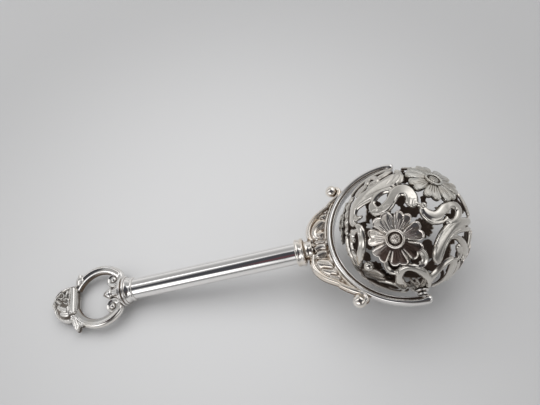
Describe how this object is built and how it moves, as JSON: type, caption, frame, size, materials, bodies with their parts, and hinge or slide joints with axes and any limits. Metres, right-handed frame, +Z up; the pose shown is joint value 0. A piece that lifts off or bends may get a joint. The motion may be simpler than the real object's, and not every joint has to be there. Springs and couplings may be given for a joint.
{
  "type": "baby rattle",
  "caption": "Silver baby rattle: a pierced openwork ball spins in a fork on a slim tubular handle ending in a crowned ribbon ring",
  "frame": {"origin": "centre of the footprint on the table the rattle lies on, midway along its length", "axes": "+X from the crown to the ball, +Y along the ball's pivots to the left side, +Z up; the handle slopes down about 8.8 degrees towards the crown"},
  "size_m": [0.1474, 0.0504, 0.0424],
  "materials": {
    "silver_polished": "polished",
    "silver_toned": "polished, brown toning in the hollows",
    "silver_pierced": "soft polish, dark inside",
    "silver_oxidised": "oxidised in the ribs",
    "silver_dull": "dull"
  },
  "bodies": {
    "handle": {"fork_band": "silver_polished", "yoke_bracket": "silver_toned", "yoke_scroll_left": "silver_polished", "yoke_scroll_right": "silver_polished", "pivot_pin_left": "silver_polished", "pivot_pin_right": "silver_polished", "pivot_spacer_left": "silver_polished", "pivot_spacer_right": "silver_polished", "front_ferrule": "silver_polished", "handle_tube": "silver_polished", "rear_ferrule": "silver_polished", "finial_bud": "silver_polished", "ring_scroll_left": "silver_polished", "ring_scroll_right": "silver_polished", "crown_finial": "silver_toned"},
    "ball": {"ball_half_left": "silver_pierced", "ball_half_right": "silver_pierced", "rosettes_left": "silver_oxidised", "rosettes_right": "silver_oxidised", "pole_cup_left": "silver_pierced", "pole_cup_right": "silver_pierced"},
    "bell": {"bell_upper": "silver_dull", "bell_lower": "silver_dull"},
    "pea": {"bell_pea": "silver_dull"}
  },
  "joints": [
    {"name": "ball_spin", "type": "hinge", "parent": "handle", "child": "ball", "pos_m": [0.05215, 0, 0.021], "axis": [0, 1, 0], "continuous": true},
    {"name": "bell_roll", "type": "hinge", "parent": "ball", "child": "bell", "pos_m": [0.05215, 0, 0.021], "axis": [0, 1, 0], "continuous": true},
    {"name": "pea_roll", "type": "hinge", "parent": "bell", "child": "pea", "pos_m": [0.05215, 0, 0.0067], "axis": [0, 1, 0], "continuous": true}
  ]
}
